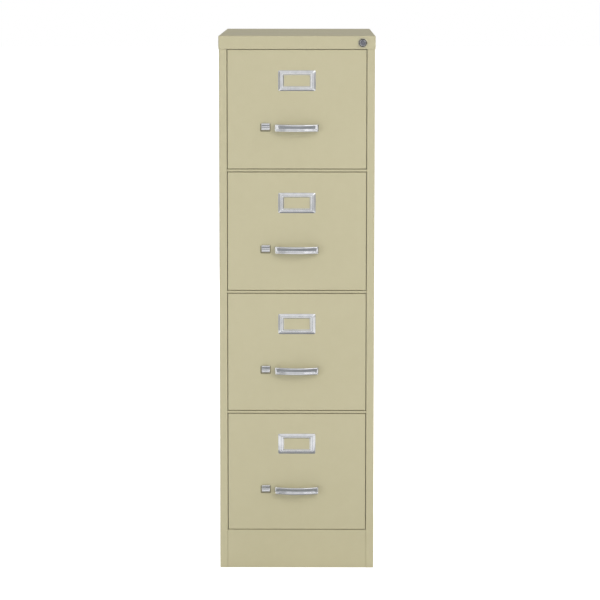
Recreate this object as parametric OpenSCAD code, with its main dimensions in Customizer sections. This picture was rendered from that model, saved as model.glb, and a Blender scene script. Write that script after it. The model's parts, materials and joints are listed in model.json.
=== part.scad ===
// Four-drawer, letter-width vertical filing cabinet in folded sheet steel.
// Millimetres, +Z up. The front faces -Y. The origin is on the floor, in the middle of the footprint.
// Inside the modules y = 0 is the front plane of the case, and y grows towards the back.

/* [Case] */
// Width of the case, without the cap
case_w = 381; // [379:0.5:386]
// Depth of the case, from the front plane to the back
case_d = 673; // [672:1:720]
// Height from the floor to the top of the cap
case_h = 1321; // [1320.5:0.5:1330]
// Thickness of the case's sheet steel
case_t = 0.9; // [0.7:0.1:1]
// Width of the front stile beside the drawers
stile_w = 19.1; // [18.5:0.1:19.1]
// Height of the panel under the lowest drawer
base_h = 96; // [80:1:96]
// How far the cap stands outside the case
cap_lap = 1.3; // [1.2:0.1:2]
// Height of the cap's skirt
cap_skirt = 32.6; // [31:0.1:32.6]

/* [Drawers] */
// Height of a drawer's front panel
front_h = 290.9; // [290:0.1:290.9]
// Gap round a drawer's front panel
gap = 1.4; // [1.2:0.1:1.6]
// Height of the cross rail between two drawers
rail_h = 5.9; // [5:0.1:5.9]
// Depth of the hollow drawer head
head_t = 17; // [16:0.5:18]
// Thickness of the drawers' sheet steel
tray_t = 0.8; // [0.6:0.1:0.9]
// Length of a drawer tray behind its head
tray_d = 626; // [600:1:630]

/* [Pull, latch and label] */
// Overall width of the bow pull
pull_w = 109; // [100:1:115]
// How far the pull stands out from the panel
pull_reach = 32; // [28:1:40]
// Height of the pull's strip
pull_h = 19; // [16:1:20]
// Distance from the top of the panel to the middle of the pull
pull_drop = 189.9; // [184:0.1:194]
// Distance from the middle of the panel to the latch
latch_x = 77; // [76:1:82]
// Width and height of the label holder
label_size = [92, 50.4];
// Distance from the top of the panel to the middle of the label holder
label_drop = 75.4; // [60:0.1:100]

/* [Lock] */
// Distance of the lock's axis from the middle of the case
lock_x = 160.3; // [159.5:0.1:161]
// Distance from the top of the cap down to the lock's axis
lock_drop = 17.3; // [16.5:0.1:17.5]
// How far the unlocked plunger stands out of its collar
plunger_out = 9; // [8.5:0.5:11]

/* [Hidden] */
BAYS = [1, 2, 3, 4];
CASE_NODES = [
    "left_side_panel", "right_side_panel", "back_panel", "top_cap", "base_panel", "cross_rails",
    "uprights", "case_slides", "lock_housing", "lock_nut", "lock_plunger", "lock_core",
    "lock_crank", "lock_bracket", "lock_bar", "bar_guides"
];
DRAWER_PARTS = [
    "front", "liner", "tray", "handle", "label_holder", "latch_bezel", "latch_button", "latch_bar",
    "slides", "carriers", "follower"
];

// Colours
putty = [0.78, 0.75, 0.62];
chrome = [0.88, 0.88, 0.90];
zinc = [0.70, 0.71, 0.73];
nylon = [0.90, 0.90, 0.87];
olive = [0.30, 0.28, 0.22];

// Case
half_w = case_w / 2;
opening = half_w - stile_w;
inside_w = half_w - case_t;
stile_return = 13;
back_flange = 15;
edge_r = 3;
tight_r = 1.4;
panel_h = case_h - case_t - 2;
skirt_z = case_h - cap_skirt;
pitch = front_h + 2 * gap + rail_h;
rail_depth = 26;
bead_depth = 4;
bead_w = 34;
bead_z = [180, 620, 1060];
front_shift = (pull_reach - case_d - cap_lap) / 2;
function bay_z(bay) = base_h + gap + (len(BAYS) - bay) * pitch;

// Drawer head
front_w = 2 * (opening - gap);
front_r = 1.3;
play = 0.1;
liner_x = front_w / 2 - case_t - play;
pull_z = front_h - pull_drop;
label_z = front_h - label_drop;

// Slides, measured from the middle of the case and from the slide's own middle
slide_z = 81;
slide_y = 24;
slide_len = 600;
slide_t = 1.2;
slide_lip = 2.4;
mount_x = 173;
tray_x = 160.3;
outer_half = 22.5;
outer_lip_x = 162.6;
carrier_half = 19.3;
carrier_web_x = 170.9;
carrier_lip_x = 162.8;
inner_half = 15.8;
inner_lip_x = 168.9;
upright_y = [60, case_d - 72];
upright_w = 32;
upright_foot = 12;
upright_z = [4, 1230];

// Tray
tray_floor = 6;
tray_side = 226;
hang_rail = 14;
hang_x = 155.4;
slot_w = 8;
slot_y = [80, 636];
lug_y = 28.5;
lug_t = 1.5;

// Follower
follower_w = 236;
follower_h = 176;
follower_y = 606;
follower_t = 1.2;
follower_flange = 14;

// Latch
latch_travel = 6.5;
bolt_y = 5.5;
bolt_t = 2;
bolt_h = 12;
bolt_tip = opening - 0.6;
bezel = [25.6, 20];
bezel_t = 0.8;
stem_x = [-latch_x - 7.3, -latch_x - 0.3];
stem_gap = 0.6;
pad = [21.2, 18.6];
pad_lift = 2.2;
pad_reach = 7;

// Lock
lock_z = case_h - lock_drop;
plunger_r = 8;
core_r = 4.6;
running = 0.08;
collar_t = 1.8;
collar_r = 12;
housing_r = 9.5;
housing_y = 27;
plunger_body = 26;
tail_r = 4;
nose_r = 1.5;
tail_end = 46.7;
pivot = [50, lock_z - 24];
pivot_r = 2.5;
hub_r = 5;
arm_half = 2;
arm_t = 3;
fork_reach = 25.5;
fork_half = 2.5;
pin_r = 2;
pin_y = pivot[0] - 22;
bar_x = 177;
bar_t = 1.5;
bar_y = [20, 36];
catch_z = 190;
catch_h = 16;
tab_h = 10.5;
tab_y = 26;
guide_z = [150, 640, 1215];
weld = 0.05;

// ---------- Outlines of folded sheet ----------

function unit(v) = v / norm(v);
function left_of(a, b) = let (d = unit(b - a)) [-d[1], d[0]];
function turn(a, b, c) = let (u = b - a, v = c - b) u[0] * v[1] - u[1] * v[0];
function near(a, low) = a < low ? near(a + 360, low) : a >= low + 360 ? near(a - 360, low) : a;
function backwards(list) = [for (i = [len(list) - 1:-1:0]) list[i]];

// The arc of radius r that rounds the corner b between a and c
function fillet(a, b, c, r, n = 4) =
    let (u = unit(a - b), v = unit(c - b), half = acos(u * v) / 2,
        o = b + unit(u + v) * r / sin(half), reach = r / tan(half),
        s = b + u * reach - o, e = b + v * reach - o,
        start = atan2(s[1], s[0]), sweep = near(atan2(e[1], e[0]) - start, -180))
    [for (k = [0:n]) o + r * [cos(start + sweep * k / n), sin(start + sweep * k / n)]];

// A closed outline with its corners rounded, each to its own radius
function rounded(points, radii, n = 4) =
    let (m = len(points))
    [for (i = [0:m - 1]) each radii[i] > 0
        ? fillet(points[(i + m - 1) % m], points[i], points[(i + 1) % m], radii[i], n)
        : [points[i]]];

function rectangle(low, high) = [low, [high[0], low[1]], high, [low[0], high[1]]];
function round_rectangle(size, r, n = 4) = rounded(rectangle(-size / 2, size / 2), [r, r, r, r], n);

// The path moved to its left by t, with mitred corners
function beside(path, t) =
    let (m = len(path))
    [for (i = [0:m - 1])
        let (after = left_of(path[min(i, m - 2)], path[min(i, m - 2) + 1]),
            before = left_of(path[max(i, 1) - 1], path[max(i, 1)]))
        path[i] + t * (before + after) / (1 + before * after)];

function bends(path, r, less_left, less_right) =
    let (m = len(path))
    [for (i = [0:m - 1]) each i == 0 || i == m - 1
        ? [path[i]]
        : fillet(path[i - 1], path[i], path[i + 1], (is_list(r) ? r[i] : r)
            - (turn(path[i - 1], path[i], path[i + 1]) > 0 ? less_left : less_right))];

// The section of a folded sheet that lies to the left of its path, where r is the bends' outer
// radius: one number, or one for each point
function folded(path, t, r) =
    concat(bends(path, r, 0, t), backwards(bends(beside(path, t), r, t, 0)));

// ---------- General shapes ----------

// An outline in x and y, raised from z low to z high
module raised(low, high, outline) {
    translate([0, 0, low]) linear_extrude(high - low) polygon(outline);
}

// A section in y and z, drawn out from x low to x high
module across(low, high, section) {
    translate([low, 0, 0]) rotate([90, 0, 90]) linear_extrude(high - low) polygon(section);
}

// A section in x and z, drawn out from y low to y high
module along(low, high, section) {
    translate([0, high, 0]) rotate([90, 0, 0]) linear_extrude(high - low) polygon(section);
}

module block(low, high) {
    translate(low) cube(high - low);
}

module rod_x(low, high, y, z, r) {
    translate([low, y, z]) rotate([0, 90, 0]) cylinder(h = high - low, r = r, $fn = 48);
}

module rod_y(low, high, x, z, r) {
    translate([x, low, z]) rotate([-90, 0, 0]) cylinder(h = high - low, r = r, $fn = 48);
}

// The same shape on the right, and mirrored on the left
module both_sides() {
    children();
    mirror([1, 0, 0]) children();
}

module on_left() {
    mirror([1, 0, 0]) children();
}

module at_each_bay() {
    for (bay = BAYS) translate([0, 0, bay_z(bay)]) children();
}

// Every part is placed here: the front plane goes to its place in front of the origin
module placed(colour, lift = 0) {
    color(colour) translate([0, front_shift, lift]) children();
}

// ---------- Case ----------

// A side with its front stile, the stile's return, a back flange and a floor flange
module side_panel() {
    path = [[opening, stile_return], [opening, 0], [half_w, 0], [half_w, case_d],
        [half_w - back_flange, case_d]];
    raised(0, panel_h, folded(path, case_t, [0, tight_r, edge_r, edge_r, 0]));
    block([opening, stile_return + 2, 0], [inside_w, case_d - 2 * case_t - 1, case_t]);
}

// The slots in the left stile's return that the latch bolts enter
module strike_slots() {
    side_gap = 2;
    at_each_bay() block([opening - 1, bolt_y - 1, pull_z - bolt_h / 2 - side_gap],
        [opening + 2, bolt_y + bolt_t + 1, pull_z + bolt_h / 2 + side_gap]);
}

module left_side_panel() {
    placed(putty) on_left() difference() {
        side_panel();
        strike_slots();
    }
}

module right_side_panel() {
    placed(putty) side_panel();
}

// A back sheet with pressed beads across it, lying inside the side panels' back flanges
module back_panel() {
    y = case_d - case_t;
    slope = 3;
    bead = [for (z = bead_z) each [[y, z - bead_w / 2], [y - bead_depth, z - bead_w / 2 + slope],
        [y - bead_depth, z + bead_w / 2 - slope], [y, z + bead_w / 2]]];
    path = concat([[y, 0]], bead, [[y, panel_h]]);
    placed(putty) across(-inside_w + edge_r, inside_w - edge_r, folded(path, case_t, tight_r));
}

// A solid with soft edges, open in the direction in which it is drawn out too far
module soft_box(x, y, z, r, plan_r) {
    p = is_undef(plan_r) ? r : plan_r;
    intersection() {
        raised(z[0], z[1], rounded(rectangle([x[0], y[0]], [x[1], y[1]]), [p, p, p, p]));
        across(x[0], x[1], rounded(rectangle([y[0], z[0]], [y[1], z[1]]), [r, r, r, r]));
        along(y[0], y[1], rounded(rectangle([x[0], z[0]], [x[1], z[1]]), [r, r, r, r]));
    }
}

// The top, with a skirt all round, a stiffened lower edge in front and the lock's hole
module top_cap() {
    w = half_w + cap_lap;
    deep = 40;
    lip = 14;
    inner_w = w - case_t;
    r = 2.4;
    corner_r = 3.8;
    placed(putty) difference() {
        union() {
            difference() {
                soft_box([-w, w], [-cap_lap, case_d + cap_lap], [skirt_z - deep, case_h], r, corner_r);
                soft_box([-inner_w, inner_w], [case_t - cap_lap, case_d + cap_lap - case_t],
                    [skirt_z - 2 * deep, case_h - case_t], r - case_t, corner_r - case_t);
                block([-2 * w, -w, skirt_z - 2 * deep], [2 * w, 2 * case_d, skirt_z]);
            }
            across(-opening + 1, opening - 1, folded([[case_t - cap_lap, skirt_z], [lip, skirt_z],
                [lip, skirt_z + 8]], case_t, tight_r));
        }
        rod_y(-5, 5, lock_x, lock_z, housing_r);
        block([lock_x - 16, case_t - cap_lap, skirt_z - 1], [opening, lip + 1, skirt_z + 9]);
    }
}

// The kick panel, folded back at its top and along the floor
module base_panel() {
    top_fold = 24;
    floor_fold = 20;
    path = [[top_fold, base_h], [0, base_h], [0, 0], [floor_fold, 0]];
    placed(putty) across(-opening, opening, folded(path, case_t, tight_r));
}

// The channels between the drawers, open to the back
module cross_rails() {
    path = [[rail_depth, rail_h], [0, rail_h], [0, 0], [rail_depth, 0]];
    placed(putty) for (bay = [2:len(BAYS)])
        translate([0, 0, bay_z(bay) + front_h + gap])
            across(-opening, opening, folded(path, case_t, tight_r));
}

// Hat-section posts on the side panels, which carry the slides
module uprights() {
    face = mount_x + slide_t;
    placed(zinc) both_sides() for (y = upright_y)
        raised(upright_z[0], upright_z[1], folded([[inside_w, y - upright_foot], [inside_w, y],
            [face, y], [face, y + upright_w], [inside_w, y + upright_w],
            [inside_w, y + upright_w + upright_foot]], slide_t, tight_r));
}

// The outer members of the telescopic slides
module case_slides() {
    path = [[outer_lip_x, slide_lip - outer_half], [outer_lip_x, -outer_half],
        [mount_x, -outer_half], [mount_x, outer_half], [outer_lip_x, outer_half],
        [outer_lip_x, outer_half - slide_lip]];
    placed(zinc) at_each_bay() both_sides() translate([0, 0, slide_z])
        along(slide_y, slide_y + slide_len, folded(path, slide_t, tight_r));
}

// ---------- Lock ----------

// The collar and barrel that hold the plunger, with a back wall round its tail
module lock_housing() {
    wall = 2;
    placed(chrome) difference() {
        union() {
            rod_y(-cap_lap - collar_t, -cap_lap, lock_x, lock_z, collar_r);
            rod_y(-cap_lap, housing_y, lock_x, lock_z, housing_r);
        }
        rod_y(-cap_lap - 2 * collar_t, housing_y - wall, lock_x, lock_z, plunger_r + running);
        rod_y(0, housing_y + 1, lock_x, lock_z, tail_r + running);
    }
}

// The hexagonal nut behind the cap's skirt
module lock_nut() {
    nut_t = 3.6;
    nut_r = 12.4;
    placed(zinc) translate([lock_x, case_t - cap_lap, lock_z]) rotate([-90, 30, 0]) difference() {
        cylinder(h = nut_t, r = nut_r, $fn = 6);
        translate([0, 0, -1]) cylinder(h = nut_t + 2, r = housing_r, $fn = 48);
    }
}

// The push-in plunger, bored for the key cylinder, with the tail that works the crank
module lock_plunger() {
    front = -cap_lap - collar_t - plunger_out;
    shoulder = front + plunger_body;
    placed(zinc) difference() {
        union() {
            rod_y(front, shoulder, lock_x, lock_z, plunger_r);
            rod_y(shoulder, tail_end - 6, lock_x, lock_z, tail_r);
            rod_y(tail_end - 6, tail_end, lock_x, lock_z, nose_r);
        }
        rod_y(front - 1, front + plunger_body - 4, lock_x, lock_z, core_r + running);
    }
}

// The key cylinder, with its keyway
module lock_core() {
    front = -cap_lap - collar_t - plunger_out;
    keyway = [0.7, 3.1];
    placed(zinc) difference() {
        rod_y(front - 0.6, front + plunger_body - 4.4, lock_x, lock_z, core_r);
        block([lock_x - keyway[0], front - 2, lock_z - keyway[1]],
            [lock_x + keyway[0], front + 9, lock_z + keyway[1]]);
    }
}

// The bell crank that turns the plunger's push into the bar's lift
module lock_crank() {
    tip_r = 3;
    arm_x = lock_x - arm_t / 2;
    fork_x = bar_x - 6;
    reach = lock_z - pivot[1];
    placed(zinc) difference() {
        union() {
            rod_x(arm_x, fork_x + arm_t, pivot[0], pivot[1], hub_r);
            block([arm_x, pivot[0] - arm_half, pivot[1]], [arm_x + arm_t, pivot[0] + arm_half, lock_z]);
            rod_x(arm_x, arm_x + arm_t, pivot[0], lock_z, tip_r);
            block([fork_x, pivot[0] - fork_reach, pivot[1] - hub_r],
                [fork_x + arm_t, pivot[0], pivot[1] + hub_r]);
        }
        rod_x(arm_x - 1, bar_x, pivot[0], pivot[1], pivot_r + running);
        block([fork_x - 1, pivot[0] - fork_reach - 1, pivot[1] - fork_half],
            [fork_x + arm_t + 1, pin_y + 4, pivot[1] + fork_half]);
    }
}

// The crank's pivot pin on its plate, with a spacer and a riveted head
module lock_bracket() {
    plate = [13, 16];
    spacer_r = 5.5;
    head_r = 4;
    arm_x = lock_x - arm_t / 2;
    clear = 0.4;
    placed(zinc) {
        block([inside_w - slide_t, pivot[0] - plate[0], pivot[1] - plate[1]],
            [inside_w, pivot[0] + plate[0], pivot[1] + plate[1]]);
        rod_x(bar_x - 3 + clear, inside_w - slide_t, pivot[0], pivot[1], spacer_r);
        rod_x(arm_x - clear, inside_w - slide_t, pivot[0], pivot[1], pivot_r);
        rod_x(arm_x - clear - 1.4, arm_x - clear, pivot[0], pivot[1], head_r);
    }
}

// The sliding bar beside the drawers, with a stop tab for each and the crank's pin
module lock_bar() {
    foot_z = bay_z(len(BAYS)) + 60;
    head_z = pivot[1] + 8;
    tab_x = tray_x + 4.7;
    tab_z = catch_z - 1 - tab_h;
    placed(zinc) {
        block([bar_x, bar_y[0], foot_z], [bar_x + bar_t, bar_y[1], head_z]);
        at_each_bay() {
            block([tab_x, tab_y, tab_z], [bar_x - weld, tab_y + lug_t, tab_z + tab_h]);
            block([bar_x - lug_t, bar_y[0] + 1, tab_z], [bar_x - weld, tab_y + lug_t, tab_z + tab_h]);
        }
        rod_x(bar_x - 6.5, bar_x - weld, pin_y, pivot[1], pin_r);
    }
}

// Nylon blocks on the right side panel, which the bar slides through
module bar_guides() {
    clear = 0.4;
    guide_h = 20;
    placed(nylon) for (z = guide_z) translate([0, 0, z]) difference() {
        block([bar_x - 2.4, bar_y[0] - 3, 0], [inside_w, bar_y[1] + 3, guide_h]);
        block([bar_x - clear, bar_y[0] - clear, -1], [bar_x + bar_t + clear, bar_y[1] + clear, guide_h + 1]);
    }
}

// ---------- Drawer head ----------

// The slot that the latch bar leaves by, in the left wall of the head
module bar_slot() {
    clear = 1;
    wall = 4;
    block([-front_w / 2 - 1, bolt_y - clear, pull_z - bolt_h / 2 - clear],
        [wall - front_w / 2, bolt_y + bolt_t + clear, pull_z + bolt_h / 2 + clear]);
}

// The slot for the stem of the thumb button
module stem_slot() {
    block([stem_x[0] - stem_gap, -2, -3.6], [stem_x[1] + stem_gap + latch_travel, 3, 3.6]);
}

// The front pan, open to the back
module front(bay) {
    w = front_w / 2;
    deep = 20;
    stud_x = pull_w / 2 - 3.5;
    placed(putty, bay_z(bay)) difference() {
        soft_box([-w, w], [0, head_t + deep], [0, front_h], front_r);
        soft_box([case_t - w, w - case_t], [case_t, head_t + 2 * deep], [case_t, front_h - case_t],
            front_r - case_t);
        block([-2 * w, head_t, -1], [2 * w, head_t + 2 * deep, front_h + 1]);
        for (side = [-1, 1]) {
            rod_y(-1, 3, side * stud_x, pull_z, 2.1);
            block([side * 30 - 3, -1, label_z + 18], [side * 30 + 3, 3, label_z + 20]);
        }
        translate([0, 0, pull_z]) stem_slot();
        bar_slot();
    }
}

// The inner pan that closes the head
module liner(bay) {
    deep = 20;
    flange_y = case_t + 3;
    low = case_t + play;
    high = front_h - case_t - play;
    placed(putty, bay_z(bay)) difference() {
        soft_box([-liner_x, liner_x], [-deep, head_t], [low, high], tight_r);
        soft_box([tray_t - liner_x, liner_x - tray_t], [-2 * deep, head_t - tray_t],
            [low + tray_t, high - tray_t], tight_r - tray_t);
        block([-front_w, -2 * deep, -1], [front_w, flange_y, front_h + 1]);
        bar_slot();
    }
}

// Floor, sides and back, with rails for hanging folders, the follower's slot and the lock's lug
module tray(bay) {
    step_z = tray_side - hang_rail;
    end_y = head_t + tray_d;
    path = [[-hang_x, tray_side], [-hang_x, step_z], [-tray_x, step_z], [-tray_x, tray_floor],
        [tray_x, tray_floor], [tray_x, step_z], [hang_x, step_z], [hang_x, tray_side]];
    placed(putty, bay_z(bay)) {
        difference() {
            along(head_t, end_y, folded(path, tray_t, tight_r));
            block([-slot_w / 2, slot_y[0], 0], [slot_w / 2, slot_y[1], tray_floor + 2]);
        }
        along(end_y - tray_t, end_y, rounded(rectangle([tray_t - tray_x, tray_floor + tray_t / 2],
            [tray_x - tray_t, step_z - tray_t - 1]), [1, 1, 3, 3]));
        block([tray_x + weld, lug_y, catch_z], [tray_x + lug_t, lug_y + catch_h, catch_z + catch_h]);
        block([tray_x + weld, lug_y, catch_z], [tray_x + 8.7, lug_y + lug_t, catch_z + catch_h]);
    }
}

// A bowed strip with a dished face on two legs, and a stud behind each foot
module handle(bay) {
    leg = 17;
    strip = 3.2;
    dish = 1.2;
    lip = 2.8;
    corner = 8;
    steps = 12;
    foot = 7;
    w = pull_w / 2;
    bow = [for (k = [1:steps - 1]) let (u = 2 * k / steps - 1)
        [u * w, -leg - (pull_reach - leg) * (1 - u * u)]];
    path = concat([[-w, 0], [-w, -leg]], bow, [[w, -leg], [w, 0]]);
    function radii(r) = [for (i = [0:len(path) - 1]) i == 1 || i == len(path) - 2 ? r : 0];
    function strip_from(near_t) = let (skin = beside(path, near_t), back = beside(path, strip))
        concat(rounded_path(skin, radii(corner - near_t)),
            backwards(rounded_path(back, radii(corner - strip))));
    function rounded_path(points, r) = let (m = len(points))
        [for (i = [0:m - 1]) each r[i] > 0
            ? fillet(points[i - 1], points[i], points[i + 1], r[i], 6) : [points[i]]];
    placed(chrome, bay_z(bay) + pull_z) {
        raised(-pull_h / 2, lip - pull_h / 2, strip_from(0));
        raised(lip - pull_h / 2, pull_h / 2 - lip, strip_from(dish));
        raised(pull_h / 2 - lip, pull_h / 2, strip_from(0));
        for (side = [-1, 1]) {
            along(-2, 0, [for (p = round_rectangle([foot, pull_h], 2)) p + [side * (w - foot / 2), 0]]);
            rod_y(-1, 6, side * (w - 3.5), 0, 2);
        }
    }
}

// A pressed frame with a raised rim round its window, and two tabs through the panel
module label_holder(bay) {
    plate_t = 1.4;
    rim_w = 5;
    rim_t = 3.8;
    opening_size = [63, 28];
    placed(chrome, bay_z(bay) + label_z) {
        difference() {
            union() {
                along(-plate_t, 0, round_rectangle(label_size, 3));
                along(-rim_t, 0, round_rectangle(opening_size + 2 * [rim_w, rim_w], 2.5));
            }
            along(-rim_t - 1, 1, round_rectangle(opening_size, 1.2));
        }
        for (side = [-1, 1])
            block([side * 30 - 2.5, -plate_t, 18.4], [side * 30 + 2.5, 3, 19.6]);
    }
}

// ---------- Latch ----------

// The escutcheon that the thumb button slides on
module latch_bezel(bay) {
    placed(olive, bay_z(bay) + pull_z) difference() {
        translate([-latch_x, 0, 0]) along(-bezel_t, 0, round_rectangle(bezel, 2.4));
        stem_slot();
    }
}

// The thumb button: a crowned pad with a lip along its top, and the stem behind it
module latch_button(bay) {
    low = -latch_x - 10.2;
    top = pad_lift + pad[1] / 2;
    bottom = pad_lift - pad[1] / 2;
    foot = -bezel_t - 0.3;
    section = rounded([[foot, bottom], [foot, top], [-pad_reach + 1.6, top], [-pad_reach + 1.1, top - 5.7],
        [-pad_reach + 3.4, top - 7.4], [-pad_reach, bottom + 4], [-pad_reach + 0.9, bottom]],
        [0, 0, 1.2, 0.6, 1.2, 2.5, 1.5]);
    placed(chrome, bay_z(bay) + pull_z) {
        across(low, low + pad[0], section);
        block([stem_x[0], foot - 1, -3], [stem_x[1], bolt_y, 3]);
    }
}

// The flat bar behind the front pan, whose end is the bolt
module latch_bar(bay) {
    high = stem_x[1] + 1.4;
    placed(zinc, bay_z(bay) + pull_z)
        along(bolt_y, bolt_y + bolt_t, rounded(rectangle([-bolt_tip, -bolt_h / 2], [high, bolt_h / 2]),
            [2.5, 1, 1, 2.5]));
}

// ---------- Moving slide members and follower ----------

// The members fixed to the tray's sides
module slides(bay) {
    path = [[inner_lip_x, inner_half], [tray_x, inner_half], [tray_x, -inner_half],
        [inner_lip_x, -inner_half]];
    placed(zinc, bay_z(bay)) both_sides() translate([0, 0, slide_z])
        along(slide_y, slide_y + slide_len, folded(path, slide_t, tight_r));
}

// The members between the case's and the drawer's
module carriers(bay) {
    path = [[carrier_lip_x, slide_lip - carrier_half], [carrier_lip_x, -carrier_half],
        [carrier_web_x, -carrier_half], [carrier_web_x, carrier_half],
        [carrier_lip_x, carrier_half], [carrier_lip_x, carrier_half - slide_lip]];
    placed(zinc, bay_z(bay)) both_sides() translate([0, 0, slide_z])
        along(slide_y, slide_y + slide_len, folded(path, slide_t, tight_r));
}

// The plate that holds the files upright, clamped through the slot in the tray's floor
module follower(bay) {
    w = follower_w / 2;
    floor_z = tray_floor + tray_t + 0.4;
    top = floor_z + follower_h;
    foot = 32;
    under = [1.6, tray_floor - 0.4];
    path = [[-w, follower_y + follower_flange], [-w, follower_y], [w, follower_y],
        [w, follower_y + follower_flange]];
    placed(zinc, bay_z(bay)) {
        raised(floor_z, top, folded(path, follower_t, tight_r));
        block([-w / 2, follower_y + follower_t / 2, floor_z],
            [w / 2, follower_y + foot, floor_z + follower_t]);
        block([-w + tight_r, follower_y + follower_t / 2, top - follower_t],
            [w - tight_r, follower_y + follower_flange, top]);
        block([-slot_w / 2 + 0.5, follower_y + 6, under[0]], [slot_w / 2 - 0.5, follower_y + 26, floor_z]);
        block([-16, follower_y + 2, under[0]], [16, follower_y + 30, under[1]]);
    }
}

// ---------- Nodes ----------

left_side_panel();
right_side_panel();
back_panel();
top_cap();
base_panel();
cross_rails();
uprights();
case_slides();
lock_housing();
lock_nut();
lock_plunger();
lock_core();
lock_crank();
lock_bracket();
lock_bar();
bar_guides();

front(1);  // drawer_1_front
liner(1);  // drawer_1_liner
tray(1);  // drawer_1_tray
handle(1);  // drawer_1_handle
label_holder(1);  // drawer_1_label_holder
latch_bezel(1);  // drawer_1_latch_bezel
latch_button(1);  // drawer_1_latch_button
latch_bar(1);  // drawer_1_latch_bar
slides(1);  // drawer_1_slides
carriers(1);  // drawer_1_carriers
follower(1);  // drawer_1_follower

front(2);  // drawer_2_front
liner(2);  // drawer_2_liner
tray(2);  // drawer_2_tray
handle(2);  // drawer_2_handle
label_holder(2);  // drawer_2_label_holder
latch_bezel(2);  // drawer_2_latch_bezel
latch_button(2);  // drawer_2_latch_button
latch_bar(2);  // drawer_2_latch_bar
slides(2);  // drawer_2_slides
carriers(2);  // drawer_2_carriers
follower(2);  // drawer_2_follower

front(3);  // drawer_3_front
liner(3);  // drawer_3_liner
tray(3);  // drawer_3_tray
handle(3);  // drawer_3_handle
label_holder(3);  // drawer_3_label_holder
latch_bezel(3);  // drawer_3_latch_bezel
latch_button(3);  // drawer_3_latch_button
latch_bar(3);  // drawer_3_latch_bar
slides(3);  // drawer_3_slides
carriers(3);  // drawer_3_carriers
follower(3);  // drawer_3_follower

front(4);  // drawer_4_front
liner(4);  // drawer_4_liner
tray(4);  // drawer_4_tray
handle(4);  // drawer_4_handle
label_holder(4);  // drawer_4_label_holder
latch_bezel(4);  // drawer_4_latch_bezel
latch_button(4);  // drawer_4_latch_button
latch_bar(4);  // drawer_4_latch_bar
slides(4);  // drawer_4_slides
carriers(4);  // drawer_4_carriers
follower(4);  // drawer_4_follower
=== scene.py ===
import json
import math

import bmesh
import bpy
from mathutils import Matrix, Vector

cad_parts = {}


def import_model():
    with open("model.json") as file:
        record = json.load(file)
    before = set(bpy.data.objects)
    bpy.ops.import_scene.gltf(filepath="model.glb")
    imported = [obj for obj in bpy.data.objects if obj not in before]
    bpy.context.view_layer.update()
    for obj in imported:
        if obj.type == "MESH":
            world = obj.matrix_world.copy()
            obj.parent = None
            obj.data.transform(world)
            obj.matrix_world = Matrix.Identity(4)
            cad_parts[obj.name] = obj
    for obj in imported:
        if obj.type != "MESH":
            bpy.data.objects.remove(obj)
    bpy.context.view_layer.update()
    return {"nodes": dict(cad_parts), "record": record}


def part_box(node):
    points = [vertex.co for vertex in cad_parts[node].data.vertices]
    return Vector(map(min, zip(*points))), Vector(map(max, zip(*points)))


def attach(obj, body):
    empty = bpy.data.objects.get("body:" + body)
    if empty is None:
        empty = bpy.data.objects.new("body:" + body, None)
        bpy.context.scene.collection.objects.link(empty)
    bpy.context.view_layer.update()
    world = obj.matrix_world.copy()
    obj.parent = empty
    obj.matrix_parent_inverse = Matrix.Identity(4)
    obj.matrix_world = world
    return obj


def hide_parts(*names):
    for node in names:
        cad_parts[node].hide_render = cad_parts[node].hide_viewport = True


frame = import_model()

NODES = frame["nodes"]
MM = 0.001
BAYS = (1, 2, 3, 4)
WHITE = (1, 1, 1, 1)
BLACK = (0, 0, 0, 1)


# ---------- Node helpers ----------

def fill_sockets(node, **values):
    """Sets a node's inputs by name. An underscore stands for a space."""
    for key, value in values.items():
        node.inputs[key.replace("_", " ")].default_value = value


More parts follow.
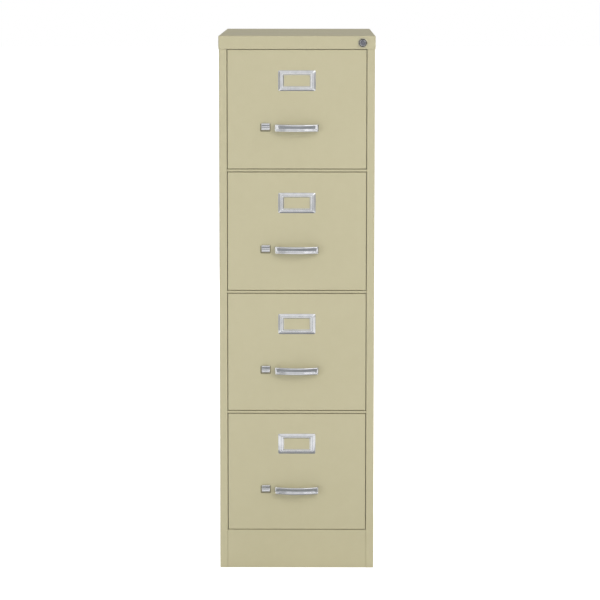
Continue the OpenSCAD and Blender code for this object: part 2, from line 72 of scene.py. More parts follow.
class Graph:
    """A material's node tree, built by short calls."""

    def __init__(self, name):
        self.material = bpy.data.materials.new(name)
        self.material.use_nodes = True
        self.tree = self.material.node_tree
        self.tree.nodes.clear()
        output = self.add("ShaderNodeOutputMaterial")
        self.shader = self.add("ShaderNodeBsdfPrincipled")
        self.link(self.shader.outputs[0], output.inputs["Surface"])
        self.coords = self.add("ShaderNodeTexCoord").outputs["Object"]

    def add(self, kind, **values):
        node = self.tree.nodes.new(kind)
        for key, value in values.items():
            setattr(node, key, value)
        return node

    def link(self, a, b):
        self.tree.links.new(a, b)

    def put(self, socket, value):
        """Links a socket to an output, or sets it to a value."""
        if hasattr(value, "is_linked"):
            self.link(value, socket)
        else:
            socket.default_value = value

    def noise(self, scale, detail, rough, vector=None, distortion=0.0):
        """Noise around 0.5, with scale waves to a metre."""
        node = self.add("ShaderNodeTexNoise")
        self.put(node.inputs["Vector"], self.coords if vector is None else vector)
        fill_sockets(node, Scale=scale, Detail=detail, Roughness=rough, Distortion=distortion)
        return node.outputs["Fac"]

    def stretched(self, scale):
        """The object's coordinates, scaled along each axis."""
        node = self.add("ShaderNodeMapping")
        self.link(self.coords, node.inputs["Vector"])
        node.inputs["Scale"].default_value = scale
        return node.outputs["Vector"]

    def ramp(self, fac, low, high, a=0.0, b=1.0):
        """Turns low to high into a to b, and stops there."""
        node = self.add("ShaderNodeMapRange", clamp=True)
        self.link(fac, node.inputs["Value"])
        fill_sockets(node, From_Min=low, From_Max=high, To_Min=a, To_Max=b)
        return node.outputs["Result"]

    def math(self, op, a, b=0.0):
        node = self.add("ShaderNodeMath", operation=op)
        self.put(node.inputs[0], a)
        self.put(node.inputs[1], b)
        return node.outputs[0]

    def mix(self, fac, a, b):
        """Colour a where fac is 0, and b where it is 1."""
        node = self.add("ShaderNodeMix", data_type="RGBA")
        self.put(node.inputs["Factor"], fac)
        self.put(node.inputs["A"], a)
        self.put(node.inputs["B"], b)
        return node.outputs["Result"]

    def edge(self, radius, gain):
        """1 on convex and concave edges, 0 on flats: how far a bevelled normal leaves the true one."""
        bevel = self.add("ShaderNodeBevel", samples=4)
        bevel.inputs["Radius"].default_value = radius
        normal = self.add("ShaderNodeNewGeometry").outputs["Normal"]
        dot = self.add("ShaderNodeVectorMath", operation="DOT_PRODUCT")
        self.link(bevel.outputs[0], dot.inputs[0])
        self.link(normal, dot.inputs[1])
        return self.ramp(self.math("SUBTRACT", 1.0, dot.outputs["Value"]), 0.0, 1.0 / gain)

    def bump(self, height, strength, distance, soft=0.0):
        """Roughens the shader's normal, on top of edges that are softened by the radius soft."""
        node = self.add("ShaderNodeBump")
        self.link(height, node.inputs["Height"])
        fill_sockets(node, Strength=strength, Distance=distance)
        if soft:
            bevel = self.add("ShaderNodeBevel", samples=6)
            bevel.inputs["Radius"].default_value = soft
            self.link(bevel.outputs[0], node.inputs["Normal"])
        self.link(node.outputs[0], self.shader.inputs["Normal"])

    def set(self, **values):
        """Sets or links the shader's inputs by name, and returns the finished material."""
        for key, value in values.items():
            self.put(self.shader.inputs[key.replace("_", " ")], value)
        return self.material


def rgb(r, g, b):
    """An sRGB colour, 0 to 255, as the linear colour the shader takes."""
    def linear(level):
        c = level / 255.0
        return c / 12.92 if c <= 0.04045 else ((c + 0.055) / 1.055) ** 2.4
    return (linear(r), linear(g), linear(b), 1.0)


# ---------- Materials ----------

def enamel(name, base, lift, shade, soft):
    """Baked enamel on sheet steel: orange peel, faint clouding, specks of dust, and a painted highlight, in
    patches, along folds and creases.
    """
    dust = rgb(150, 143, 112)
    g = Graph(name)
    cloud = g.ramp(g.noise(3.2, 4.0, 0.55), 0.3, 0.7)
    colour = g.mix(cloud, shade, base)
    mottle = g.ramp(g.noise(42.0, 3.0, 0.6), 0.35, 0.7, 0.0, 0.14)
    colour = g.mix(mottle, colour, lift)
    speck = g.ramp(g.noise(900.0, 1.0, 0.5), 0.68, 0.78, 0.0, 0.25)
    colour = g.mix(speck, colour, dust)
    # Painted highlight: folds and creases are mixed towards the lighter tone, in noisy patches.
    fold_highlight_patches = g.ramp(g.noise(75.0, 4.0, 0.7), 0.38, 0.66, 0.12, 0.6)
    fold_highlight = g.math("MULTIPLY", g.edge(1.4 * MM, 4.0), fold_highlight_patches)
    colour = g.mix(fold_highlight, colour, lift)
    sheen = g.ramp(g.noise(11.0, 3.0, 0.6), 0.3, 0.7, 0.36, 0.46)
    fine = g.ramp(g.noise(240.0, 2.0, 0.6), 0.3, 0.7, -0.03, 0.03)
    rough = g.math("ADD", sheen, fine)
    waves = g.math("MULTIPLY", g.noise(38.0, 2.0, 0.5), 1.6)
    peel = g.math("ADD", g.noise(520.0, 2.0, 0.5), waves)
    g.bump(peel, 0.16, 0.22 * MM, soft)
    return g.set(Base_Color=colour, Roughness=rough, IOR=1.5, Specular_IOR_Level=0.42,
                 Coat_Weight=0.12, Coat_Roughness=0.28)


def plated(name, tone, dark, rough_low, rough_high, grain, bump):
    """Plated metal: hairline polish marks, faint tarnish clouds and slightly uneven plating."""
    g = Graph(name)
    marks = g.noise(420.0, 3.0, 0.6, g.stretched(grain))
    cloud = g.noise(60.0, 3.0, 0.6)
    colour = g.mix(g.ramp(cloud, 0.35, 0.7), tone, dark)
    polish = g.ramp(marks, 0.3, 0.7, rough_low, rough_high)
    rough = g.math("ADD", polish, g.ramp(cloud, 0.4, 0.8, 0.0, 0.04))
    g.bump(g.math("ADD", marks, g.noise(130.0, 2.0, 0.5)), bump, 0.1 * MM)
    return g.set(Base_Color=colour, Metallic=1.0, Roughness=rough)


def zinc(name, tone, other, flake):
    """Zinc-plated strip: soft blue and straw patches, rolling lines and rubbed edges."""
    worn = rgb(226, 227, 229)
    g = Graph(name)
    patch = g.ramp(g.noise(16.0, 4.0, 0.6, distortion=0.6), 0.35, 0.68)
    spangle = g.add("ShaderNodeTexVoronoi", feature="F1")
    g.link(g.coords, spangle.inputs["Vector"])
    spangle.inputs["Scale"].default_value = 240.0
    colour = g.mix(patch, tone, other)
    colour = g.mix(g.ramp(spangle.outputs["Distance"], 0.1, 0.6, 0.0, 0.22), colour, flake)
    lines = g.noise(300.0, 3.0, 0.6, g.stretched((1.0, 0.04, 1.0)))
    rubbed = g.math("MULTIPLY", g.edge(0.9 * MM, 4.0), 0.7)
    colour = g.mix(rubbed, colour, worn)
    rough = g.math("ADD", g.ramp(lines, 0.3, 0.7, 0.27, 0.4), g.math("MULTIPLY", patch, 0.06))
    relief = g.math("ADD", lines, g.math("MULTIPLY", spangle.outputs["Distance"], 0.5))
    g.bump(relief, 0.12, 0.12 * MM, 0.7 * MM)
    return g.set(Base_Color=colour, Metallic=1.0, Roughness=rough)


def moulded(name, base, other, rough):
    """Moulded plastic: fine spark-eroded grain, faint flow marks and scuffed corners."""
    scuff = rgb(200, 198, 188)
    g = Graph(name)
    colour = g.mix(g.ramp(g.noise(35.0, 4.0, 0.6, distortion=1.2), 0.3, 0.7), base, other)
    colour = g.mix(g.math("MULTIPLY", g.edge(0.6 * MM, 4.0), 0.25), colour, scuff)
    grain = g.noise(1400.0, 2.0, 0.6)
    g.bump(grain, 0.2, 0.06 * MM, 0.5 * MM)
    return g.set(Base_Color=colour, Roughness=g.ramp(grain, 0.3, 0.7, rough - 0.05, rough + 0.07), IOR=1.46)


PUTTY = enamel("putty_enamel", rgb(197, 190, 156), rgb(206, 200, 169), rgb(195, 188, 154), 1.6 * MM)

# Plated metals: colour, tarnish, lowest and highest roughness, and the polish marks' stretch and strength
CHROME = plated("bright_chrome", rgb(237, 238, 240), rgb(226, 227, 230), 0.05, 0.11, (1.0, 1.0, 0.25), 0.04)
SATIN = plated("satin_nickel", rgb(172, 174, 180), rgb(146, 148, 155), 0.16, 0.26, (1.0, 0.3, 1.0), 0.1)
PAD = plated("thumb_chrome", rgb(234, 235, 237), rgb(222, 223, 226), 0.1, 0.17, (1.0, 1.0, 0.4), 0.05)
BARREL = plated("plunger_nickel", rgb(206, 207, 212), rgb(186, 188, 194), 0.09, 0.15, (1.0, 0.3, 1.0), 0.06)
# The key cylinder's face is nickel, toned darker than its plating as a painted dark reflection.
CORE_DARK_REFLECTION = plated("cylinder_face_dark_reflection", rgb(140, 141, 149), rgb(118, 119, 127), 0.12, 0.2, (1.0, 0.3, 1.0), 0.1)
# The collar is plated metal whose cream tone is a painted reflection of the putty cap round it.
COLLAR_CREAM_REFLECTION = plated("collar_plate_cream_reflection", rgb(214, 210, 192), rgb(200, 196, 178), 0.2, 0.28, (0.3, 1.0, 1.0), 0.06)

ZINC = zinc("zinc_plate", rgb(178, 180, 184), rgb(188, 184, 170), rgb(203, 205, 208))
NYLON = moulded("natural_nylon", rgb(224, 221, 210), rgb(213, 209, 194), 0.45)
# The bezel's dark olive is painted shade: the putty colour darkened to stand for the shadow round the thumb
# pad.
BEZEL_PAINTED_SHADE = moulded("bezel_plastic", rgb(146, 140, 114), rgb(131, 125, 101), 0.5)

FINISH = {"putty_paint": PUTTY, "chrome": CHROME, "cylinder_metal": SATIN, "zinc_steel": ZINC,
          "nylon": NYLON, "bezel_plastic": BEZEL_PAINTED_SHADE}


def dress(obj, material):
    obj.data.materials.clear()
    obj.data.materials.append(material)


SLOT = {part["node"]: part["material_slot"] for part in frame["record"]["subparts"]}
for name, obj in NODES.items():
    dress(obj, FINISH[SLOT[name]])
dress(NODES["lock_core"], CORE_DARK_REFLECTION)


# ---------- Mesh helpers ----------

def new_piece(name, bm, body, material, smooth, replaces, subdivide=0):
    """A visual piece that rides on a body in place of its nodes. Edges over smooth degrees stay sharp."""
    bmesh.ops.remove_doubles(bm, verts=bm.verts, dist=1e-6)
    bmesh.ops.recalc_face_normals(bm, faces=bm.faces)
    mesh = bpy.data.meshes.new(name)
    bm.to_mesh(mesh)
    bm.free()
    obj = bpy.data.objects.new(name, mesh)
    bpy.context.scene.collection.objects.link(obj)
    dress(obj, material)
    mesh.shade_smooth()
    if subdivide:
        mod = obj.modifiers.new("subdivide", "SUBSURF")
        mod.levels = mod.render_levels = subdivide
    mesh.set_sharp_from_angle(angle=math.radians(smooth))
    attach(obj, body)
    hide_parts(*replaces)


def clamped(value):
    return max(0.0, min(1.0, value))


def skin(bm, rings, caps=True):
    """Joins closed rings of points, each the same length, into one surface."""
    made = [[bm.verts.new(p) for p in ring] for ring in rings]
    count = len(made[0])
    for a, b in zip(made, made[1:]):
        for k in range(count):
            n = (k + 1) % count
            bm.faces.new((a[k], a[n], b[n], b[k]))
    if caps:
        bm.faces.new(made[0])
        bm.faces.new(list(reversed(made[-1])))


def rounded_loop(w, h, r):
    """Points round a rectangle w by h with corners of radius r, anticlockwise from the lower right."""
    steps = 5
    points = []
    for cx, cz, start in ((w / 2 - r, -h / 2 + r, -90), (w / 2 - r, h / 2 - r, 0),
                          (-w / 2 + r, h / 2 - r, 90), (-w / 2 + r, -h / 2 + r, 180)):
        for k in range(steps + 1):
            a = math.radians(start + 90 * k / steps)
            points.append((cx + r * math.cos(a), cz + r * math.sin(a)))
    return points


# Angles in degrees above which an edge stays sharp
TURNED_SMOOTH = 35
STRIP_SMOOTH = 60
PRESSED_SMOOTH = 50


def lathe(name, centre, profile, body, material, replaces):
    """A turned piece round an axis along Y. The profile is (radius, distance before the centre) in mm."""
    segments = 48
    turns = [2 * math.pi * k / segments for k in range(segments)]
    cx, cy, cz = centre
    rings = []
    for radius, out in profile:
        r, y = radius * MM, cy - out * MM
        rings.append([(cx + r * math.cos(a), y, cz + r * math.sin(a)) for a in turns])
    bm = bmesh.new()
    skin(bm, rings, caps=False)
    new_piece(name, bm, body, material, TURNED_SMOOTH, replaces)


# ---------- The pulls ----------

PULL_LEG = 21 * MM  # how far the face stands out where its bow ends
BOW_POWER = 0.9  # below 1 the bow is fuller than a parabola
PULL_CORNER = 8 * MM
PULL_THICK = 5.2 * MM
PULL_HALF_TALL = 9.0 * MM
PULL_FLARE = 0.45 * MM  # how much half the height grows towards the ends
FLARE_START, FLARE_RATE = 0.45, 1.5  # share of the way to the foot, and steepness
HOLLOW_DEPTH = 3.8 * MM
HOLLOW_STOP = 20 * MM  # where the hollow ends, measured along the strip from its foot
HOLLOW_FADE = 6 * MM


def pull_path(half, reach):
    """The right half of a pull's face from above: (across, out of the panel, distance along the strip)."""
    bow_steps, corner_steps, leg_steps = 44, 12, 6
    bow_end = half - PULL_CORNER
    side = []
    for k in range(bow_steps + 1):
        x = bow_end * k / bow_steps
        side.append((x, PULL_LEG + (reach - PULL_LEG) * (1 - (x / bow_end) ** 2) ** BOW_POWER))
    slope = math.atan2(side[-2][1] - side[-1][1], side[-1][0] - side[-2][0])
    cut = 1.2 * MM  # the corner takes the place of the bow's steep last stretch
    side = [(x, y) for x, y in side if x < bow_end - cut]
    cx, cy = side[-1]
    start = slope * 0.6
    for k in range(1, corner_steps + 1):
        a = start + (math.pi / 2 - start) * k / corner_steps
        side.append((cx + (half - cx) * math.sin(a), cy - PULL_CORNER * (1 - math.cos(a))))
    foot_x, leg_top = side[-1]
    for k in range(1, leg_steps + 1):
        side.append((foot_x, leg_top * (1 - k / leg_steps)))
    length, out = 0.0, []
    for k, (x, y) in enumerate(side):
        if k:
            length += math.hypot(x - side[k - 1][0], y - side[k - 1][1])
        out.append((x, y, length))
    return out


# Across a pull's face, from its lower edge up: share of half its height, depth of the lips in mm, and share
# of the hollow's own depth
PULL_LOWER_LIP = ((-1.0, 1.9, 0), (-0.985, 1.2, 0), (-0.95, 0.65, 0), (-0.9, 0.32, 0), (-0.82, 0.12, 0),
                  (-0.74, 0.02, 0), (-0.66, 0.02, 0), (-0.6, 0.06, 0.02))
PULL_HOLLOW = ((-0.55, 0.1, 0.14), (-0.5, 0.1, 0.42), (-0.45, 0.1, 0.74), (-0.4, 0.1, 0.94),
               (-0.35, 0.1, 1.0), (-0.28, 0.1, 0.96), (-0.15, 0.1, 0.82), (0.0, 0.1, 0.66), (0.15, 0.1, 0.5),
               (0.3, 0.1, 0.34), (0.45, 0.1, 0.18), (0.55, 0.1, 0.08))
PULL_UPPER_LIP = ((0.61, 0.08, 0.02), (0.67, 0.03, 0), (0.74, 0.04, 0), (0.82, 0.2, 0), (0.89, 0.55, 0),
                  (0.95, 1.1, 0), (1.0, 1.9, 0))
PULL_FACE = PULL_LOWER_LIP + PULL_HOLLOW + PULL_UPPER_LIP
# Across a pull's back, from its upper edge down: share of half its height, and rise above the flat in mm
PULL_BACK = ((0.98, 2.5), (0.93, 0.3), (0.8, 0), (0.0, -0.1), (-0.8, 0), (-0.94, 0.3), (-1.0, 2.8))


def pull(bay):
    """A stamped, bowed strip with rolled lips, and along its face a hollow that is closed at both ends."""
    node = f"drawer_{bay}_handle"
    lo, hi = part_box(node)
    cz = (lo.z + hi.z) / 2
    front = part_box(f"drawer_{bay}_front")[0].y
    half = (hi.x - lo.x) / 2
    side = pull_path(half, front - lo.y)
    path = [(-x, y, -s) for x, y, s in reversed(side)] + side[1:]
    total = side[-1][2]
    rings = []
    for i, (x, y, s) in enumerate(path):
        a, b = path[max(i - 1, 0)], path[min(i + 1, len(path) - 1)]
        along = Vector((b[0] - a[0], a[1] - b[1], 0)).normalized()
        out = Vector((along.y, -along.x, 0))
        face = Vector((x, front - y, 0))
        flare = clamped((abs(s) / total - FLARE_START) / (1 - FLARE_START) * FLARE_RATE)
        tall = PULL_HALF_TALL + PULL_FLARE * flare ** 2
        open_share = clamped((total - HOLLOW_STOP - abs(s)) / HOLLOW_FADE)
        depth = HOLLOW_DEPTH * open_share ** 2 * (3 - 2 * open_share)
        section = [(u * tall, -lip * MM - share * depth) for u, lip, share in PULL_FACE]
        back = [(tall * u, -PULL_THICK + rise * MM) for u, rise in PULL_BACK]
        ring = []
        for z, d in section + back:
            point = face + out * d
            ring.append((point.x, min(point.y, front), cz + z))
        rings.append(ring)
    bm = bmesh.new()
    skin(bm, rings)
    new_piece(f"pull_{bay}", bm, f"drawer_{bay}", CHROME, STRIP_SMOOTH, (node,), subdivide=1)


# ---------- The label holders ----------

LABEL_WINDOW = (63 * MM, 27 * MM)
# A label holder's section, from its outline to its window: share of the frame's width, and height in mm
LABEL_FLANGE = ((0.0, 0.0), (0.0, 0.25), (0.02, 0.42), (0.05, 0.6), (0.14, 1.15), (0.26, 1.85), (0.37, 2.45),
                (0.42, 2.52))
LABEL_GROOVE = ((0.45, 2.2), (0.475, 1.75), (0.50, 1.55), (0.525, 1.75), (0.55, 2.4), (0.57, 3.1))
LABEL_RIM = ((0.59, 3.6), (0.62, 3.75), (0.70, 3.78), (0.78, 3.76), (0.81, 3.55), (0.835, 2.8), (0.855, 1.9),
             (0.875, 1.1), (0.905, 0.7), (1.0, 0.45), (1.0, 0.0))


def label_holder(bay):
    """A pressed frame: a sloping flange along its outline, a groove, and a rolled rim round the window."""
    node = f"drawer_{bay}_label_holder"
    lo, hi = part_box(node)
    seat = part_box(f"drawer_{bay}_front")[0].y - 0.02 * MM
    cx, cz = (lo.x + hi.x) / 2, (lo.z + hi.z) / 2
    w, h = hi.x - lo.x, hi.z - lo.z
    slim_x, slim_z = w - LABEL_WINDOW[0], h - LABEL_WINDOW[1]
    outer_radius, inner_radius = 3.6 * MM, 1.2 * MM
    rings = []
    for inset, out in LABEL_FLANGE + LABEL_GROOVE + LABEL_RIM:
        radius = outer_radius + (inner_radius - outer_radius) * inset
        ring = rounded_loop(w - inset * slim_x, h - inset * slim_z, radius)
        rings.append([(cx + x, seat - out * MM, cz + z) for x, z in ring])
    bm = bmesh.new()
    skin(bm, rings, caps=False)
    new_piece(f"label_frame_{bay}", bm, f"drawer_{bay}", CHROME, PRESSED_SMOOTH, (node,),
              subdivide=1)


# ---------- The latches ----------

BEZEL_FLOOR = 1.1 * MM  # how far the pad's foot stands in front of the panel
# A thumb pad from its lower edge up: share of its height, and how far it stands out in mm
PAD_REST = ((-0.50, 0.0), (-0.50, 1.8), (-0.485, 3.2), (-0.45, 4.5), (-0.40, 5.3), (-0.34, 5.7),
            (-0.28, 5.75), (-0.21, 5.5), (-0.14, 4.9), (-0.08, 4.1), (-0.04, 3.3))
PAD_STEP = ((-0.01, 2.75), (0.02, 2.55), (0.06, 2.65), (0.12, 3.25), (0.18, 3.95), (0.24, 4.6))
PAD_LIP = ((0.28, 5.0), (0.32, 5.25), (0.37, 5.3), (0.42, 5.05), (0.46, 4.5), (0.49, 3.6), (0.50, 2.4),
           (0.50, 0.0))
PAD_CURVE = PAD_REST + PAD_STEP + PAD_LIP
# A thumb pad from its middle to its end: share of its width, and shares of its full height and reach there
PAD_ENDS = ((0.0, 1.0, 1.01), (0.18, 1.0, 1.0), (0.36, 1.0, 0.98), (0.44, 0.985, 0.92), (0.48, 0.95, 0.78),
            (0.497, 0.90, 0.55), (0.5, 0.84, 0.30))


def latch_button(bay):
    """A thumb pad: a lip along its top, a step below it, and a crowned, bright thumb rest."""
    node = f"drawer_{bay}_latch_button"
    lo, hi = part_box(node)
    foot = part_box(f"drawer_{bay}_front")[0].y - BEZEL_FLOOR
    cx, w = (lo.x + hi.x) / 2, hi.x - lo.x
    cz, h = (lo.z + hi.z) / 2, hi.z - lo.z
    left_half = [(-u, tall, reach) for u, tall, reach in reversed(PAD_ENDS)]
    rings = []
    for u, tall, reach in left_half + list(PAD_ENDS[1:]):
        rings.append([(cx + u * w, foot - out * reach * MM, cz + z * h * tall) for z, out in PAD_CURVE])
    bm = bmesh.new()
    skin(bm, rings)
    new_piece(f"thumb_pad_{bay}", bm, f"latch_{bay}", PAD, PRESSED_SMOOTH, (node,), subdivide=1)


# ---------- The lock ----------

def lock():
    """The collar with its barrel, and the plunger: turned pieces, with a dark gap between them. In mm."""
    head, crest, root, bore_r, hole = 12.0, 9.5, 9.15, 8.2, 5.5
    lo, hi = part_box("lock_housing")
    cx, cz = (lo.x + hi.x) / 2, (lo.z + hi.z) / 2
    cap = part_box("top_cap")[0].y
    deep = (hi.y - cap) / MM
    wall, pitch = 2, 1.2
    bore = [(bore_r, wall - deep), (bore_r, -5.0), (9.2, -4.4), (9.35, 0.8)]
    rim = [(9.5, 1.4), (9.85, 1.75), (10.5, 1.78), (11.3, 1.6), (11.8, 1.15), (head, 0.5), (head, 0.02),
           (crest, 0.02)]
    thread = []
    for k in range(int((deep - wall) / pitch)):
        thread += [(crest, -1 - pitch * k), (root, -1 - pitch * (k + 0.5))]
    end = [(9.4, -deep), (hole, -deep), (hole, wall - deep), (bore_r, wall - deep)]
    collar = bore + rim + thread + end
    lathe("lock_collar", (cx, cap, cz), collar, "case", COLLAR_CREAM_REFLECTION, ("lock_housing",))
    lo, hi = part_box("lock_plunger")
    back = (hi.y - lo.y) / MM
    face, guide, groove, socket_r, stem_r, pin_r = 7.6, 8.02, 7.7, 4.75, 4.0, 1.5
    socket = [(socket_r, -22.0), (socket_r, -1.45)]
    dish = [(4.85, -1.25), (5.3, -1.02), (6.0, -0.7), (6.7, -0.36), (7.2, -0.1)]
    rounding = [(7.3, -0.04), (7.45, -0.15), (7.55, -0.4), (face, -0.9)]
    barrel = [(face, -6.9), (guide, -7.4), (guide, -8.0), (groove, -8.3), (groove, -8.9), (guide, -9.2),
              (guide, -25.5), (face, -26.0)]
    stem = [(stem_r, -26.0), (stem_r, 6.4 - back), (3.6, 6.0 - back)]
    pin = [(pin_r, 6.0 - back), (pin_r, 0.4 - back), (1.1, -back), (0.01, -back)]
    plunger = socket + dish + rounding + barrel + stem + pin
    lathe("plunger_body", (cx, lo.y, cz), plunger, "plunger", BARREL, ("lock_plunger",))


for bay in BAYS:
    pull(bay)
    label_holder(bay)
    latch_button(bay)
lock()


# ---------- Stage, light and camera ----------

def sheet(name, rows, material):
    """A flat sheet on the stage, from rows of points."""
    bm = bmesh.new()
    made = [[bm.verts.new(p) for p in row] for row in rows]
    for a, b in zip(made, made[1:]):
        for k in range(len(a) - 1):
            bm.faces.new((a[k], a[k + 1], b[k + 1], b[k]))
    mesh = bpy.data.meshes.new(name)
    bm.to_mesh(mesh)
    bm.free()
    mesh.shade_smooth()
    obj = bpy.data.objects.new(name, mesh)
    bpy.context.scene.collection.objects.link(obj)
    dress(obj, material)
    return obj


# Sizes and places on the stage are in metres
FLOOR_HALF = 40.0
FLOOR_STEP = 5.0
FLOOR_GLOW = 0.72
UNDER_CASE = (("X", 0.188), ("Y", 0.32))  # how far the floor stays without its glow under the case


def floor():
    """Pale paper, wide enough to look endless. It glows a little for the camera, and only round the case."""
    g = Graph("floor_paper")
    tone = g.mix(g.ramp(g.noise(1.3, 4.0, 0.6), 0.3, 0.7), rgb(231, 231, 230), rgb(235, 235, 234))
    g.bump(g.noise(600.0, 2.0, 0.6), 0.03, 0.2 * MM)
    seen = g.add("ShaderNodeLightPath").outputs["Is Camera Ray"]
    split = g.add("ShaderNodeSeparateXYZ")
    g.link(g.coords, split.inputs[0])
    under = []
    for axis, half in UNDER_CASE:
        distance = g.math("ABSOLUTE", split.outputs[axis])
        under.append(g.math("LESS_THAN", distance, half))
    open_floor = g.math("SUBTRACT", 1.0, g.math("MULTIPLY", *under))
    glow = g.math("MULTIPLY", g.math("MULTIPLY", seen, open_floor), FLOOR_GLOW)
    g.set(Base_Color=tone, Roughness=0.9, Specular_IOR_Level=0.1,
          Emission_Color=WHITE, Emission_Strength=glow)
    span = [-FLOOR_HALF + FLOOR_STEP * k for k in range(int(2 * FLOOR_HALF / FLOOR_STEP) + 1)]
    sheet("studio_floor", [[(x, y, 0.0) for x in span] for y in span], g.material)


def card(name, centre, across, up, tone, power=0.0, taper=1.0):
    """A flat card that only mirrors show. With power it glows, and its upper edge is taper times as long."""
    g = Graph(name)
    g.set(Base_Color=BLACK if power else tone, Roughness=1.0, Specular_IOR_Level=0.0, Emission_Color=tone,
          Emission_Strength=power)
    c, a, b = Vector(centre), Vector(across), Vector(up)
    obj = sheet(name, [[c - a - b, c + a - b], [c - a * taper + b, c + a * taper + b]], g.material)
    obj.visible_camera = False
    obj.visible_shadow = False
    obj.visible_diffuse = False


def lamp(name, place, target, size, power, colour):
    """A rectangular lamp that the chrome doesn't mirror."""
    data = bpy.data.lights.new(name, "AREA")
    data.shape = "RECTANGLE"
    data.size, data.size_y = size
    data.energy = power
    data.color = colour
    obj = bpy.data.objects.new(name, data)
    bpy.context.scene.collection.objects.link(obj)
    obj.location = place
    obj.rotation_mode = "QUATERNION"
    obj.rotation_quaternion = (Vector(target) - Vector(place)).to_track_quat("-Z", "Y")
    obj.visible_glossy = False
    obj.visible_camera = False


# The room's brightness by height, from straight down (0) over the horizon (0.5) to straight up (1)
ROOM_BEFORE = ((0.0, 0.35), (0.42, 0.55), (0.50, 0.62), (0.64, 0.82), (0.82, 0.95), (1.0, 0.35))
ROOM_BEHIND = ((0.0, 0.20), (0.44, 0.14), (0.52, 0.16), (0.66, 0.45), (0.82, 0.70), (1.0, 0.35))


def world():
    """White for the camera, and for everything else a room, darker behind the cabinet and on its left."""
    studio = bpy.data.worlds.new("studio")
    bpy.context.scene.world = studio
    studio.use_nodes = True
    tree = studio.node_tree
    tree.nodes.clear()
    new, link = tree.nodes.new, tree.links.new
    out = new("ShaderNodeOutputWorld")
    seen = new("ShaderNodeBackground")
    seen.inputs["Color"].default_value = WHITE
    fill = new("ShaderNodeBackground")
    coord = new("ShaderNodeTexCoord")
    split = new("ShaderNodeSeparateXYZ")
    ramps = []
    for stops in (ROOM_BEFORE, ROOM_BEHIND):
        ramp = new("ShaderNodeValToRGB")
        ramp.color_ramp.interpolation = "EASE"
        while len(ramp.color_ramp.elements) < len(stops):
            ramp.color_ramp.elements.new(0.5)
        for element, (place, level) in zip(ramp.color_ramp.elements, stops):
            element.position = place
            element.color = (level, level, level, 1)
        ramps.append(ramp)
    behind = new("ShaderNodeMapRange")
    behind.interpolation_type = "SMOOTHSTEP"
    fill_sockets(behind, From_Min=-0.25, From_Max=0.45)
    blend = new("ShaderNodeMix")
    blend.data_type = "RGBA"
    half = new("ShaderNodeMapRange")
    fill_sockets(half, From_Min=-1.0, From_Max=1.0, To_Min=0.0, To_Max=1.0)
    tilt = new("ShaderNodeMapRange")
    fill_sockets(tilt, From_Min=-0.9, From_Max=0.9, To_Min=0.72, To_Max=1.08)
    mix = new("ShaderNodeMixShader")
    path = new("ShaderNodeLightPath")
    link(coord.outputs["Generated"], split.inputs[0])
    link(split.outputs["Z"], half.inputs["Value"])
    for ramp, side in zip(ramps, ("A", "B")):
        link(half.outputs[0], ramp.inputs[0])
        link(ramp.outputs[0], blend.inputs[side])
    link(split.outputs["Y"], behind.inputs["Value"])
    link(behind.outputs[0], blend.inputs["Factor"])
    link(split.outputs["X"], tilt.inputs["Value"])
    link(blend.outputs["Result"], fill.inputs["Color"])
    link(tilt.outputs[0], fill.inputs["Strength"])
    link(path.outputs["Is Camera Ray"], mix.inputs[0])
    link(fill.outputs[0], mix.inputs[1])
    link(seen.outputs[0], mix.inputs[2])
    link(mix.outputs[0], out.inputs["Surface"])


CAMERA_PLACE = (0.03961, -6.82115, 1.50135)
CAMERA_DOWN, CAMERA_ROLL, CAMERA_LEFT = 6.7526, -0.0255, 0.2846  # degrees
SENSOR = 36.0
FOCAL_LENGTH = 159.564
SHIFT = -0.04


def camera():
    """A long lens a little above the cap, which looks slightly down."""
    data = bpy.data.cameras.new("camera")
    data.sensor_width = SENSOR
    data.lens = FOCAL_LENGTH
    data.shift_y = SHIFT
    data.dof.use_dof = False
    obj = bpy.data.objects.new("camera", data)
    bpy.context.scene.collection.objects.link(obj)
    obj.location = CAMERA_PLACE
    obj.rotation_mode = "XYZ"
    obj.rotation_euler = [math.radians(angle) for angle in (90 - CAMERA_DOWN, CAMERA_ROLL, CAMERA_LEFT)]
    bpy.context.scene.camera = obj


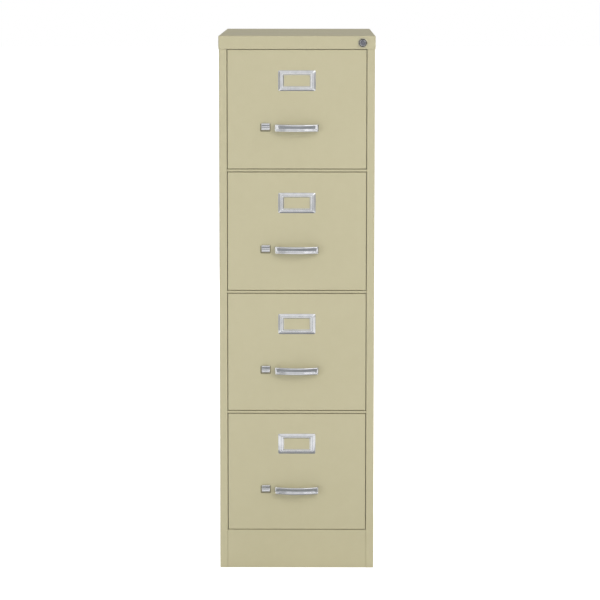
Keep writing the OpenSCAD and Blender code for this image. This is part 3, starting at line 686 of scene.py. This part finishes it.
# Lamps: place, target, size, watts and colour
LAMPS = {
    "key": ((2.6, -5.4, 3.3), (0, -0.3, 0.75), (2.4, 2.4), 97.0, (1.0, 0.985, 0.965)),
    "fill": ((-3.2, -4.6, 0.7), (0, -0.3, 0.3), (2.6, 2.2), 41.0, (0.91, 0.96, 1.0)),
    "back": ((-2.4, 4.6, 2.4), (0, 0.2, 0.7), (2.2, 2.2), 130.0, (1, 1, 1)),
    "side": ((5.0, 1.4, 2.2), (0, 0.0, 0.6), (2.0, 2.0), 50.0, (1, 1, 1)),
}
# Cards: middle, half of the width, half of the height, tone, and then power and taper where they have them
CARDS = {
    "low_flag": ((0, -0.83, 0.03), (1.7, 0, 0), (0, 0.45, 0), (0.37, 0.38, 0.395, 1), 0.0, 0.2),
    "low_box": ((0, -2.45, 0.02), (3.0, 0, 0), (0, 1.15, 0), WHITE, 0.95),
    "low_box_left": ((-1.75, -0.85, 0.02), (1.2, 0, 0), (0, 0.55, 0), WHITE, 0.9),
    "low_box_right": ((1.75, -0.85, 0.02), (1.2, 0, 0), (0, 0.55, 0), WHITE, 0.9),
    "left_flag": ((-2.6, -2.95, 1.0), (0.6, -0.45, 0), (0, 0, 1.5), (0.54, 0.54, 0.54, 1)),
    "right_flag": ((3.0, -0.8, 0.9), (0, 1.0, 0), (0, 0, 1.4), (0.12, 0.12, 0.12, 1)),
    "left_box": ((-3.0, -0.9, 1.0), (0, 1.1, 0), (0, 0, 1.4), WHITE, 1.0),
    "soft_box": ((2.6, -4.2, 3.2), (0.9, 0.55, 0), (-0.25, 0.4, 0.8), WHITE, 1.9),
    "front_box": ((0, -9.0, 0.9), (5.0, 0, 0), (0, 0, 2.0), WHITE, 0.92),
}

floor()
world()
camera()
for name, values in LAMPS.items():
    lamp(name, *values)
for name, values in CARDS.items():
    card(name, *values)

scene = bpy.context.scene
scene.view_settings.view_transform = "Standard"
scene.view_settings.look = "None"
scene.view_settings.exposure = 0.0
scene.view_settings.gamma = 1.0
